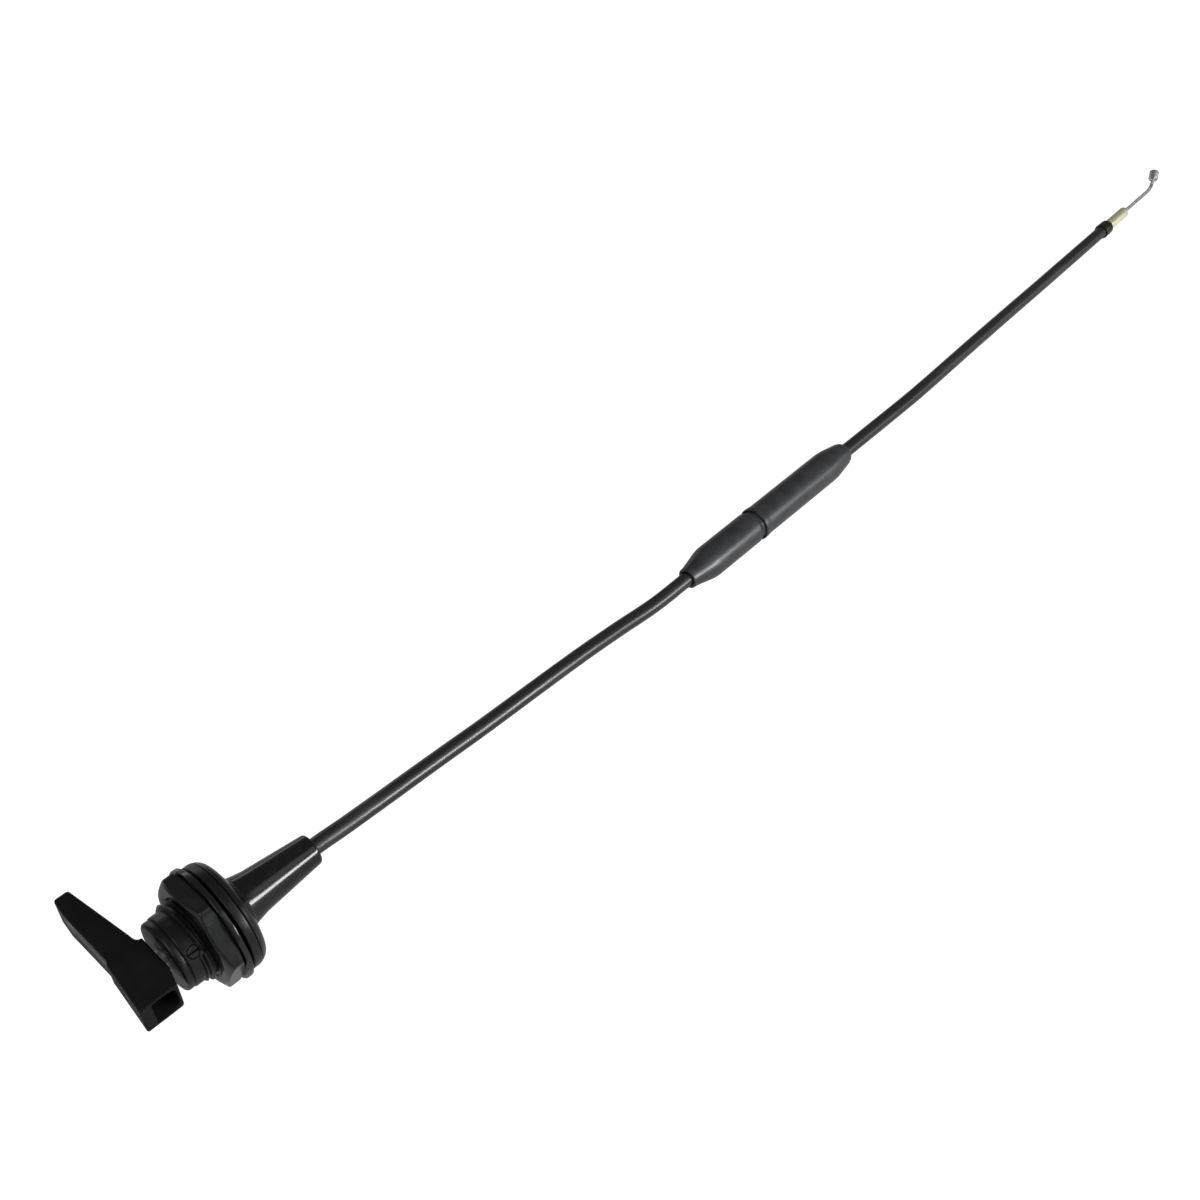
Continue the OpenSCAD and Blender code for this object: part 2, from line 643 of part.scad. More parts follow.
module end_ferrule() {
    r = ferrule_d / 2;
    color("#cdbf8e") end_frame() difference() {
        // a collar held in the cap, a neck through the cap's mouth and the plain shank
        turned([[0, ferrule_start], [sheath_d / 2, ferrule_start],
            [sheath_d / 2, ferrule_start + 1.5], [r - 0.3, ferrule_start + 1.5],
            [r - 0.3, end_cap_l + 0.1], [r, end_cap_l + 0.1], [r, ferrule_end - 0.3],
            [r - 0.3, ferrule_end], [0, ferrule_end]]);
        bar(0, ferrule_end + cut, wire_hole_d - 0.2);
    }
}

module inner_wire_tip() {
    sides = 8;
    bends = 6;
    straight = [for (x = [-tip_inner_l, -tip_inner_l / 2, 0, ferrule_end, bend_start]) [x, 0, 0]];
    bend = [for (k = [1 : bends]) let (a = bend_angle * k / bends, d = bend_r * (1 - cos(a)))
        [bend_start + bend_r * sin(a), d * cos(bend_turn), d * sin(bend_turn)]];
    out = [cos(bend_angle), sin(bend_angle) * cos(bend_turn), sin(bend_angle) * sin(bend_turn)];
    color("#b4b6b8") end_frame()
        solid_sweep(concat(straight, bend, [bend[bends - 1] + bent_l * out]), wire_d / 2, sides);
}

module end_nipple() {
    r = nipple_d / 2;
    start = bent_l - nipple_l + 0.5;
    color("#b8babc") end_frame() bent_frame() difference() {
        turned([[0, start], [r - 0.3, start], [r, start + 0.3], [r, start + nipple_l - 0.3],
            [r - 0.3, start + nipple_l], [0, start + nipple_l]]);
        bar(start - cut, bent_l + seat_gap, wire_d + 2 * seat_gap);
    }
}

housing();
guide_bush();
rod_seal();
detent_ball();
detent_spring();
detent_screw();
panel_washer();
panel_nut();
rubber_boot();
near_ferrule();
sheath_near();
near_cap();
handle();
pull_rod();
handle_pin();
inner_wire_near();
inner_wire_middle();
adjuster_screw();
lock_nut();
adjuster_barrel();
short_sleeve();
long_sleeve();
far_cap();
sheath_far();
end_cap();
end_ferrule();
inner_wire_tip();
end_nipple();
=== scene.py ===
import math

import bmesh
import bpy
from mathutils import Matrix, Quaternion, Vector


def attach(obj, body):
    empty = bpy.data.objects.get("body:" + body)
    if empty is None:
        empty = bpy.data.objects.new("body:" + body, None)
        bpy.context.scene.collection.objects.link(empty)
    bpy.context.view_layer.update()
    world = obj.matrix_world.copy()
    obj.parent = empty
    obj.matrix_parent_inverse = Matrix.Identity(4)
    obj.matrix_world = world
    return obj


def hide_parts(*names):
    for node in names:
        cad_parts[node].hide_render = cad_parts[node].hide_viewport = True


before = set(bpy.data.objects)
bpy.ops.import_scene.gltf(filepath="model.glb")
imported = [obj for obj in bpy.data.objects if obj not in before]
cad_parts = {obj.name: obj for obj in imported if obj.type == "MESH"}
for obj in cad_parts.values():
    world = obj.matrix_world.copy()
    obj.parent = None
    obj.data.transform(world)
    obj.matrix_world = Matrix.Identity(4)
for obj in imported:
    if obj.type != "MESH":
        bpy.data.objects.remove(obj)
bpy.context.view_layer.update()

# Studio -----------------------------------------------------------------------------------------
# The control lies on a plain white sweep. A camera stands over the handle's end and looks along
# the cable, with one long soft lamp low on the block's side and weak ones round it.

mm = 0.001

camera = bpy.data.objects.new("camera", bpy.data.cameras.new("camera"))
camera.data.sensor_width = 36
camera.data.lens = 45
camera_azimuth, camera_elevation = math.radians(-45.82), math.radians(44.79)
away = Vector((math.sin(camera_azimuth) * math.cos(camera_elevation),
               -math.cos(camera_azimuth) * math.cos(camera_elevation),
               math.sin(camera_elevation)))
camera.location = Vector((-86.90, -223.14, 333.02)) * mm
camera.rotation_mode = "QUATERNION"
camera.rotation_quaternion = (-away).to_track_quat("-Z", "Y")
bpy.context.scene.collection.objects.link(camera)
bpy.context.scene.camera = camera
bpy.context.scene.view_settings.view_transform = "Standard"


class Value:
    """One number or colour that flows through a finish. Sums and products become Math nodes."""

    def __init__(self, finish, socket):
        self.finish, self.socket = finish, socket

    def maths(self, operation, first, second, clamp=False):
        settings = {"operation": operation, "use_clamp": clamp}
        return self.finish.node("Math", settings, {0: first, 1: second})["Value"]

    def __add__(self, other):
        return self.maths("ADD", self, other)

    def __sub__(self, other):
        return self.maths("SUBTRACT", self, other)

    def __rsub__(self, other):
        return self.maths("SUBTRACT", other, self)

    def __mul__(self, other):
        return self.maths("MULTIPLY", self, other)

    __radd__ = __add__
    __rmul__ = __mul__

    def ramp(self, low, high):
        """0 below low, 1 above high and even between them."""
        return self.maths("DIVIDE", self - low, high - low, clamp=True)


class Node:
    """A node of a finish, whose outputs are read by name."""

    def __init__(self, finish, made):
        self.finish, self.made = finish, made

    def __getitem__(self, name):
        found = [s for s in self.made.outputs if s.enabled and s.name == name]
        return Value(self.finish, found[0])


class Finish:
    """A material, with its nodes made by type, settings and inputs."""

    def __init__(self, name, shader="BsdfPrincipled"):
        self.material = bpy.data.materials.new(name)
        self.material.use_nodes = True
        self.tree = self.material.node_tree
        self.tree.nodes.clear()
        self.shader = self.node(shader)
        self.output = self.node("OutputMaterial")
        self.tree.links.new(self.shader.made.outputs[0], self.output.made.inputs["Surface"])

    def node(self, kind, settings=None, inputs=None):
        made = self.tree.nodes.new("ShaderNode" + kind)
        for name, value in (settings or {}).items():
            setattr(made, name, value)
        self.feed(made, inputs or {})
        return Node(self, made)

    def feed(self, made, inputs):
        for name, value in inputs.items():
            if isinstance(name, int):
                socket = made.inputs[name]
            else:
                socket = next(s for s in made.inputs if s.enabled and s.name == name)
            if isinstance(value, Value):
                self.tree.links.new(value.socket, socket)
            else:
                socket.default_value = value

    def surface(self, **inputs):
        """Sets the shader's inputs. A word's underscores stand for spaces."""
        self.feed(self.shader.made, {k.replace("_", " "): v for k, v in inputs.items()})

    def place(self):
        return self.node("TexCoord")["Object"]

    def noise(self, scale, detail=2.0, stretch=None):
        """Cloudy noise with about scale cells in a metre, drawn out along x where stretched."""
        where = self.place()
        if stretch:
            where = self.node("Mapping", None, {"Vector": where, "Scale": stretch})["Vector"]
        inputs = {"Vector": where, "Scale": scale, "Detail": detail}
        return self.node("TexNoise", None, inputs)["Fac"]

    def blend(self, share, first, second):
        """A colour that goes from the first to the second."""
        return self.node("Mix", {"data_type": "RGBA"},
                         {"Factor": share, "A": first, "B": second})["Result"]

    def bump(self, height, depth, strength=1.0):
        return self.node("Bump", None, {"Height": height, "Distance": depth,
                                        "Strength": strength})["Normal"]


floor_z = -17.5 * mm
floor_mesh = bmesh.new()
bmesh.ops.create_grid(floor_mesh, x_segments=1, y_segments=1, size=6)
bmesh.ops.translate(floor_mesh, verts=floor_mesh.verts, vec=(0, 0, floor_z))
floor_data = bpy.data.meshes.new("floor")
floor_mesh.to_mesh(floor_data)
floor_mesh.free()
floor = bpy.data.objects.new("floor", floor_data)
bpy.context.scene.collection.objects.link(floor)

paper = Finish("white_paper", "BsdfDiffuse")
paper.surface(Color=(0.72, 0.72, 0.72, 1))
seen = paper.node("LightPath")
shown = seen["Is Camera Ray"] + seen["Is Transmission Ray"] + seen["Is Glossy Ray"] * 0.1
glow = paper.node("Emission", None, {"Color": (1, 1, 1, 1), "Strength": 1.3})
sheet = paper.node("MixShader", None, {0: shown * 0.75})
paper.tree.links.new(paper.shader.made.outputs[0], sheet.made.inputs[1])
paper.tree.links.new(glow.made.outputs[0], sheet.made.inputs[2])
paper.tree.links.new(sheet.made.outputs[0], paper.output.made.inputs["Surface"])
floor_data.materials.append(paper.material)

world = bpy.data.worlds.new("studio")
world.use_nodes = True
world.node_tree.nodes["Background"].inputs["Color"].default_value = (1, 1, 1, 1)
ray = world.node_tree.nodes.new("ShaderNodeLightPath")
level = world.node_tree.nodes.new("ShaderNodeMapRange")
level.inputs["To Min"].default_value, level.inputs["To Max"].default_value = 0.16, 1.0
world.node_tree.links.new(ray.outputs["Is Camera Ray"], level.inputs["Value"])
world.node_tree.links.new(level.outputs["Result"],
                          world.node_tree.nodes["Background"].inputs["Strength"])
bpy.context.scene.world = world


def lamp(name, place, target, width, height, power):
    """A soft box at a place in millimetres, turned to a target."""
    light = bpy.data.lights.new(name, "AREA")
    light.shape = "RECTANGLE"
    light.size, light.size_y, light.energy = width * mm, height * mm, power
    box = bpy.data.objects.new(name, light)
    box.location = Vector(place) * mm
    box.rotation_mode = "QUATERNION"
    box.rotation_quaternion = (Vector(target) - Vector(place)).to_track_quat("-Z", "Y")
    bpy.context.scene.collection.objects.link(box)


lamp("long_box", (460, -650, 225), (120, 0, 0), 400, 150, 5.2)
lamp("end_box", (1020, -650, 230), (300, 0, 0), 700, 200, 0.9)
lamp("left_box", (-520, -120, 620), (20, 0, 0), 400, 400, 1.6)
lamp("back_box", (200, 850, 160), (100, 0, 0), 600, 160, 0.45)
lamp("far_box", (560, -760, 900), (300, 0, 0), 700, 500, 1.2)


# Near sheath ------------------------------------------------------------------------------------
# The stretch of black plastic-covered conduit from the housing to the in-line adjuster. It is a
# stiff 5 mm tube with a 2.6 mm bore for the inner wire, pushed into a thin metal cap at each end,
# and it bends down to the ground.

near_route = [(21.5, 0, 0), (28, 0, 0), (34, 0, 0), (42, 0, -0.55), (50, 0.2, -1.1),
              (58, 0.4, -1.65), (68, 0.7, -2.3), (80, 1, -3.1), (92, 1.25, -3.9),
              (104, 1.6, -4.6), (116, 2.05, -5.35), (128, 2.6, -6.3), (140, 3.2, -7.5),
              (150, 3.7, -8.75), (158, 4.05, -9.8), (167, 4.25, -10.9), (176, 4.42, -11.45),
              (190, 4.95, -11.45), (204.1, 5.486, -11.45)]
sheath_d, sheath_bore = 5.0, 2.6
cap_seat_r, wire_hole_r = 2.89, 1.3


def smooth_line(points, step):
    """Points about a step apart on the smooth curve through the given ones, in metres."""
    line = []
    for i in range(len(points) - 1):
        before, start, end, after = (Vector(points[min(max(k, 0), len(points) - 1)]) * mm
                                     for k in (i - 1, i, i + 1, i + 2))
        parts = max(1, round((end - start).length / (step * mm)))
        for k in range(parts):
            t = k / parts
            line.append(0.5 * (2 * start + (end - before) * t
                               + (2 * before - 5 * start + 4 * end - after) * t ** 2
                               + (3 * start - before - 3 * end + after) * t ** 3))
    line.append(Vector(points[-1]) * mm)
    return line


def sweep(mesh, line, twist=0.0, wall=0.0):
    """Carries the flat ring that lies in the yz plane along a line, turning it as it goes."""
    ring = list(mesh.verts)
    ahead = (line[1] - line[0]).normalized()
    turn = Vector((1, 0, 0)).rotation_difference(ahead)
    bmesh.ops.rotate(mesh, verts=ring, cent=(0, 0, 0), matrix=turn.to_matrix())
    bmesh.ops.translate(mesh, verts=ring, vec=line[0])
    edges = list(mesh.edges)
    first, last = edges, edges
    for i in range(1, len(line)):
        out = bmesh.ops.extrude_edge_only(mesh, edges=last)["geom"]
        ring = [v for v in out if isinstance(v, bmesh.types.BMVert)]
        last = [e for e in out if isinstance(e, bmesh.types.BMEdge)]
        last = [e for e in last if all(v in ring for v in e.verts)]
        following = (line[min(i + 1, len(line) - 1)] - line[i - 1]).normalized()
        turn = ahead.rotation_difference(following)
        spun = Quaternion(following, twist * (line[i] - line[i - 1]).length)
        bmesh.ops.rotate(mesh, verts=ring, cent=line[i - 1], matrix=(spun @ turn).to_matrix())
        bmesh.ops.translate(mesh, verts=ring, vec=line[i] - line[i - 1])
        ahead = following
    if wall:
        bmesh.ops.recalc_face_normals(mesh, faces=mesh.faces)
        bmesh.ops.solidify(mesh, geom=mesh.faces[:], thickness=wall)
    else:
        bmesh.ops.edgeloop_fill(mesh, edges=first)
        bmesh.ops.edgeloop_fill(mesh, edges=last)


def conduit(line):
    """A hollow tube of sheath along a line."""
    mesh = bmesh.new()
    bmesh.ops.create_circle(mesh, segments=28, radius=sheath_d / 2 * mm,
                            matrix=Matrix.Rotation(math.radians(90), 4, "Y"))
    sweep(mesh, line, wall=(sheath_d - sheath_bore) / 2 * mm)
    return mesh


def make(name, mesh, finish, body, slot, *nodes, crease=35):
    """Turns a mesh into a finished piece that rides on a body and stands for CAD nodes."""
    bmesh.ops.recalc_face_normals(mesh, faces=mesh.faces)
    for face in mesh.faces:
        face.smooth = True
    for edge in mesh.edges:
        edge.smooth = len(edge.link_faces) == 2 and edge.calc_face_angle(0) < math.radians(crease)
    data = bpy.data.meshes.new(name)
    mesh.to_mesh(data)
    mesh.free()
    data.materials.append(finish.material)
    made = bpy.data.objects.new(name, data)
    bpy.context.scene.collection.objects.link(made)
    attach(made, body)
    if nodes:
        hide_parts(*nodes)
    return made


jacket = Finish("black_jacket")
scuffs = jacket.noise(220, 4, stretch=(0.15, 1, 1))
grain = jacket.noise(2600, 2)
jacket.surface(
    Base_Color=jacket.blend(scuffs.ramp(0.5, 0.75), (0.015, 0.015, 0.016, 1),
                            (0.028, 0.028, 0.029, 1)),
    Roughness=0.29 + 0.08 * scuffs.ramp(0.4, 0.7),
    IOR=1.52,
    Normal=jacket.bump(grain + scuffs * 0.5, 0.02 * mm, 0.5))

near_line = smooth_line(near_route, 2.0)
near_sheath = make("near_sheath", conduit(near_line), jacket, "housing", "sheath_plastic",
                   "sheath_near")

# Far sheath -------------------------------------------------------------------------------------
# The longer stretch of the same conduit, from the adjuster's barrel along the ground to the end
# cap. It is the same 5 mm tube with the same jacket.

far_route = [(241.2, 6.896, -11.45), (258, 7.53, -11.45), (270, 7.99, -11.45),
             (282, 8.45, -11.45), (294, 8.9, -11.45), (312, 9.59, -11.45),
             (322, 10.05, -11.45), (332, 10.7, -11.48), (342, 11.48, -11.57),
             (354, 12.55, -11.85), (366, 13.7, -12.25), (378, 14.85, -12.75),
             (390, 15.95, -13.2), (402, 17, -13.6), (414, 17.95, -13.9), (424, 18.7, -14.05),
             (434, 19.43, -14.1), (446, 20.27, -14.1), (458, 21.11, -14.1),
             (470, 21.95, -14.1), (482.4, 22.818, -14.1)]
far_line = smooth_line(far_route, 2.0)
far_sheath = make("far_sheath", conduit(far_line), jacket, "far_conduit", "sheath_plastic",
                  "sheath_far")

# Bare wire --------------------------------------------------------------------------------------
# The stranded steel inner wire where it comes bare out of the ferrule. It is a 1.5 mm rope of
# twelve outer strands, laid up with one turn in 11 mm, and it is bent just before the nipple.

cable_end = (Matrix.Translation(Vector((479.5, 22.615, -14.1)) * mm)
             @ Matrix.Rotation(math.atan(0.07), 4, "Z"))
wire_d, strands, lay, groove_depth = 1.5, 12, 11.0, 0.11
wire_start, bend_start, bend_r = 19.0, 45.5, 10.0
bend_angle, bend_turn = math.radians(40), math.radians(60)
bend_plane = Matrix.Translation((bend_start * mm, 0, 0)) @ Matrix.Rotation(bend_turn, 4, "X")


def bent_place(angle, beyond=0.0):
    """A point on the bend, or beyond its end on the straight piece, in the cable end's frame."""
    flat = Vector((bend_r * math.sin(angle) + beyond * math.cos(angle),
                   bend_r * (1 - math.cos(angle)) + beyond * math.sin(angle), 0)) * mm
    return bend_plane @ flat


wire_line = [Vector((u, 0, 0)) * mm for u in (wire_start, 22, 26, 30, 34, 38, 42)]
wire_line += [bent_place(bend_angle * k / 8) for k in range(9)]
wire_line += [bent_place(bend_angle, beyond) for beyond in (1.4, 2.8, 4.1)]
finer = []
for start, end in zip(wire_line, wire_line[1:]):
    parts = max(1, round((end - start).length / (0.45 * mm)))
    finer += [start.lerp(end, k / parts) for k in range(parts)]
wire_line = [cable_end @ point for point in finer + [wire_line[-1]]]

tube = bmesh.new()
rope = bmesh.ops.create_circle(tube, segments=6 * strands, radius=1,
                               matrix=Matrix.Rotation(math.radians(90), 4, "Y"))["verts"]
for vertex in rope:
    angle = math.atan2(vertex.co.z, vertex.co.y)
    groove = 1 - abs(math.sin(strands / 2 * angle))
    vertex.co *= (wire_d / 2 - groove_depth * groove ** 2) * mm
sweep(tube, wire_line, twist=2 * math.pi / (lay * mm))

steel = Finish("drawn_steel")
dull = steel.noise(900, 3, stretch=(0.4, 1, 1))
steel.surface(
    Base_Color=steel.blend(dull.ramp(0.4, 0.7), (0.62, 0.62, 0.61, 1), (0.40, 0.40, 0.40, 1)),
    Metallic=1.0, Roughness=0.3 + 0.15 * dull,
    Normal=steel.bump(steel.noise(5000, 2), 0.01 * mm, 0.4))
bare_wire = make("bare_wire", tube, steel, "tip", "wire_steel", "inner_wire_tip", crease=60)

# Pull handle ------------------------------------------------------------------------------------
# A black moulded handle, 44 mm across. The long wing is gripped with two fingers, and the short
# block on the other side has a pocket in its end, as a moulding's walls are kept even. The rod
# is pushed in from the back and held by a cross pin.

half_t, edge_r = 5.0, 0.8
block_end, hub_side, wing_end = -11.8, 5.8, 32.0
hub_back, corner_w, corner_drop = -17.6, 3.0, 1.8
dish_depth = 0.25
pocket_front, pocket_back, pocket_half_t, pocket_floor = -26.8, -19.9, 4.2, -5.2
pocket_front_r, pocket_back_r, block_rim_r = 0.4, 2.2, 0.4
back_line = [(block_end, -19.1), (-hub_side, hub_back), (hub_side, hub_back)]
wing_back = [(hub_side + corner_w, -19.4), (16, -20.5), (wing_end, -23.0)]
front_line = [(block_end, -30.0), (hub_side, -28.25), (7.0, -27.65), (16, -27.8), (25.5, -28.0),
              (wing_end, -27.4)]


def along(line, y):
    """The value at y on a line of (y, value) points."""
    for (y0, v0), (y1, v1) in zip(line, line[1:]):
        if y <= y1:
            break
    return v0 + (v1 - v0) * (y - y0) / (y1 - y0)


def back_edge(y):
    """The handle's back at y, with a hollow round corner between the hub and the wing."""
    if y <= hub_side:
        return along(back_line, y)
    if y < hub_side + corner_w:
        share = (hub_side + corner_w - y) / corner_w
        return hub_back - corner_drop * math.sqrt(max(0, 1 - share ** 2))
    return along(wing_back, y)


def quarter(x, y, z, radius, first):
    """Points on a quarter round in the section at y, from the first angle on."""
    turns = [math.radians(first + 18 * step) for step in range(6)]
    return [(x + radius * math.cos(a), y, z + radius * math.sin(a)) for a in turns]


def section(y, front, back, half, front_r, back_r, dish=0.0):
    """A section across the handle at y with round corners, dished between its front's rims."""
    ring = quarter(back - back_r, y, half - back_r, back_r, 0)
    ring += quarter(front + front_r, y, half - front_r, front_r, 90)
    ring += [(front, y, half * 0.82)]
    ring += [(front + dish, y, half * share) for share in (0.74, 0, -0.74)]
    ring += [(front, y, -half * 0.82)]
    ring += quarter(front + front_r, y, front_r - half, front_r, 180)
    ring += quarter(back - back_r, y, back_r - half, back_r, 270)
    return ring


def handle_ring(y, inset=0.0, dish=0.0):
    """The handle's outside at y."""
    corner_r = max(edge_r - inset, 0.2)
    return section(y, along(front_line, y) + inset, back_edge(y) - inset, half_t - inset,
                   corner_r, corner_r, dish)


def pocket_ring(y, shrink=0.0):
    """The pocket's inside at y, with wide corners at the back and small ones at the front."""
    return section(y, pocket_front + shrink, pocket_back - shrink, pocket_half_t - shrink,
                   pocket_front_r, pocket_back_r)


def end_rings(y, radius, side, turns):
    """The sections that round an end of the handle at y. The side points out of the end."""
    rounding = [(math.sin(a), math.cos(a)) for a in map(math.radians, turns)]
    return [handle_ring(y - side * radius * (1 - out), radius * (1 - level))
            for out, level in rounding]


def skin(rings):
    """Draws a closed ring out through the places of the next ones, and closes both ends."""
    mesh = bmesh.new()
    ring = [mesh.verts.new(Vector(point) * mm) for point in rings[0]]
    edges = [mesh.edges.new((ring[k - 1], ring[k])) for k in range(len(ring))]
    first = edges
    for places in rings[1:]:
        out = bmesh.ops.extrude_edge_only(mesh, edges=edges)["geom"]
        fresh = {v for v in out if isinstance(v, bmesh.types.BMVert)}
        ring = [next(e.other_vert(v) for e in v.link_edges if e.other_vert(v) in fresh)
                for v in ring]
        for vertex, place in zip(ring, places):
            vertex.co = Vector(place) * mm
        edges = [e for e in out if isinstance(e, bmesh.types.BMEdge)
                 and all(v in fresh for v in e.verts)]
    bmesh.ops.edgeloop_fill(mesh, edges=first)
    bmesh.ops.edgeloop_fill(mesh, edges=edges)
    return mesh


corner_ys = [hub_side + corner_w * (1 - math.cos(math.radians(15 * k))) for k in range(7)]
rings = [pocket_ring(pocket_floor, 0.6), pocket_ring(pocket_floor - 0.15, 0.2),
         pocket_ring(pocket_floor - 0.6), pocket_ring(block_end + 0.3),
         pocket_ring(block_end + 0.08, -0.08), pocket_ring(block_end, -0.3)]
rings += end_rings(block_end, block_rim_r, -1, (90, 60, 30, 0))
rings += [handle_ring(y) for y in (-9.8, -7.8, -5.8, -3, 0, 3, *corner_ys[:4], 6.9)]
rings += [handle_ring(y, dish=dish_depth)
          for y in (7.0, *corner_ys[4:], 11, 13.5, 16, 19, 22, 25.5, 28, 29.8)]
rings += [handle_ring(30.2)] + end_rings(wing_end, edge_r, 1, (0, 30, 60, 90))
shape = skin(rings)

moulding = Finish("black_moulding")
fine = moulding.noise(3200, 2)
cloud = moulding.noise(130, 3)
spot = moulding.node("SeparateXYZ", None, {"Vector": moulding.place()})
height = moulding.node("Math", {"operation": "ABSOLUTE"}, {0: spot["Z"]})["Value"]
polished = (spot["Y"].ramp(6.8 * mm, 7.1 * mm) * (-27.0 * mm - spot["X"]).ramp(0, 0.2 * mm)
            * (1 - height.ramp(4.1 * mm, 4.5 * mm)))
moulding.surface(
    Base_Color=moulding.blend(cloud.ramp(0.4, 0.7), (0.0085, 0.0085, 0.0083, 1),
                              (0.0125, 0.0125, 0.0122, 1)),
    Roughness=0.46 + 0.12 * cloud,
    Specular_IOR_Level=0.09,
    Coat_Weight=polished * (0.35 + 0.45 * cloud), Coat_Roughness=0.16,
    Normal=moulding.bump(fine, 0.02 * mm, 0.35))
make("pull_handle", shape, moulding, "pull", "handle_plastic", "handle")

# Panel housing ----------------------------------------------------------------------------------
# The black-coated steel body that goes through the panel. It is turned from bar, with a plain
# collar at its nose, a coarse thread for the nut, a flange behind the panel and a tapered tail
# in the boot. A small screw in a cross hole traps the ball that clicks on the rod.


def softened(points):
    """A profile of (radius, x) points, where a third number is the corner's rounding."""
    line = []
    count = len(points)
    for k, point in enumerate(points):
        if len(point) == 2:
            line.append(Vector(point))
            continue
        corner = Vector(point[:2])
        arms = []
        for other in (points[k - 1], points[(k + 1) % count]):
            arm = Vector(other[:2]) - corner
            arms.append(corner + arm.normalized() * min(point[2], arm.length * 0.49))
        for step in range(6):
            t = step / 5
            line.append(arms[0] * (1 - t) ** 2 + corner * 2 * t * (1 - t) + arms[1] * t ** 2)
    return line


def turned(points, place=Matrix.Identity(4), steps=96, hollow=True):
    """Turns a profile of (radius, x) points round the x axis. A hollow one closes on itself."""
    mesh = bmesh.new()
    line = softened(points)
    verts = [mesh.verts.new((x * mm, 0, radius * mm)) for radius, x in line]
    pairs = list(zip(verts, verts[1:])) + ([(verts[-1], verts[0])] if hollow else [])
    edges = [mesh.edges.new(pair) for pair in pairs]
    bmesh.ops.spin(mesh, geom=verts + edges, cent=(0, 0, 0), axis=(1, 0, 0),
                   angle=math.radians(360), steps=steps, use_merge=True)
    bmesh.ops.remove_doubles(mesh, verts=mesh.verts, dist=0.001 * mm)
    bmesh.ops.transform(mesh, matrix=place, verts=mesh.verts)
    return mesh


def threaded(crest, root, pitch, start, stop, bore, chamfer=0.0, place=Matrix.Identity(4),
             steps=72):
    """A tube with a real screw thread outside, cut off square and chamfered at its start."""
    mesh = bmesh.new()
    turns = math.ceil((stop - start) / pitch) + 2
    middle = (root + crest) / 2
    flanks = ((0, root), (0.07, root), (0.14, root), (0.25, middle), (0.38, crest), (0.5, crest),
              (0.62, crest), (0.75, middle), (0.86, root), (0.93, root), (1, root))
    verts = [mesh.verts.new(((start - pitch + share * pitch) * mm, 0, radius * mm))
             for share, radius in flanks]
    edges = [mesh.edges.new(pair) for pair in zip(verts, verts[1:])]
    bmesh.ops.spin(mesh, geom=verts + edges, cent=(0, 0, 0), axis=(1, 0, 0),
                   dvec=(pitch / steps * mm, 0, 0), angle=math.radians(360 * turns),
                   steps=steps * turns)
    bmesh.ops.remove_doubles(mesh, verts=mesh.verts, dist=0.002 * mm)
    rims = []
    for place_x, side in ((start, 1), (stop, -1)):
        cut = bmesh.ops.bisect_plane(mesh, geom=mesh.verts[:] + mesh.edges[:] + mesh.faces[:],
                                     plane_co=(place_x * mm, 0, 0), plane_no=(-side, 0, 0),
                                     dist=0.0001 * mm, clear_outer=True)["geom_cut"]
        rims.append([e for e in cut if isinstance(e, bmesh.types.BMEdge)])
    for vertex in mesh.verts:
        radius = math.hypot(vertex.co.y, vertex.co.z)
        allowed = (crest - max(0.0, chamfer - (vertex.co.x / mm - start))) * mm
        if chamfer and radius > allowed:
            vertex.co.yz = vertex.co.yz * (allowed / radius)
    inner = []
    for rim in rims:
        out = bmesh.ops.extrude_edge_only(mesh, edges=rim)["geom"]
        ring = [v for v in out if isinstance(v, bmesh.types.BMVert)]
        for vertex in ring:
            vertex.co.yz = vertex.co.yz.normalized() * bore * mm
        inner.append([e for e in out if isinstance(e, bmesh.types.BMEdge)
                      and all(v in ring for v in e.verts)])
    bmesh.ops.bridge_loops(mesh, edges=inner[0] + inner[1])
    bmesh.ops.transform(mesh, matrix=place, verts=mesh.verts)
    return mesh


def drilled(name, mesh, finish, hole, body, slot, *nodes):
    """Makes a piece with a hole cut by a turned (radius, depth) profile at a place."""
    profile, place = hole
    drill = turned(profile, place, steps=48, hollow=False)
    bmesh.ops.recalc_face_normals(drill, faces=drill.faces)
    drill_data = bpy.data.meshes.new("drill")
    drill.to_mesh(drill_data)
    drill.free()
    bit = bpy.data.objects.new("drill", drill_data)
    bpy.context.scene.collection.objects.link(bit)
    bmesh.ops.recalc_face_normals(mesh, faces=mesh.faces)
    blank_data = bpy.data.meshes.new("blank")
    mesh.to_mesh(blank_data)
    mesh.free()
    blank = bpy.data.objects.new("blank", blank_data)
    bpy.context.scene.collection.objects.link(blank)
    cutting = blank.modifiers.new("hole", "BOOLEAN")
    cutting.operation, cutting.solver, cutting.object = "DIFFERENCE", "EXACT", bit
    bpy.context.view_layer.update()
    graph = bpy.context.evaluated_depsgraph_get()
    result = bmesh.new()
    result.from_mesh(blank.evaluated_get(graph).to_mesh())
    for thing in (blank, bit):
        bpy.data.objects.remove(thing)
    return make(name, result, finish, body, slot, *nodes)


coat = Finish("black_coat")
orange = coat.noise(1500, 2)
wear = coat.noise(300, 4)
coat.surface(
    Base_Color=coat.blend(wear.ramp(0.55, 0.75), (0.007, 0.007, 0.0075, 1),
                          (0.016, 0.016, 0.0175, 1)),
    Roughness=0.26 + 0.12 * wear,
    Specular_IOR_Level=0.3,
    Normal=coat.bump(orange, 0.02 * mm, 0.4))

detent_x, detent_angle = -11.3, math.radians(141)
detent_out = Matrix.Rotation(detent_angle - math.radians(90), 4, "X")
screw_hole = ([(0, 6.5), (1.58, 6.5), (1.58, 10.15), (2.35, 10.92), (2.35, 14), (0, 14)],
              Matrix.Translation((detent_x * mm, 0, 0)) @ detent_out
              @ Matrix.Rotation(math.radians(-90), 4, "Y"))

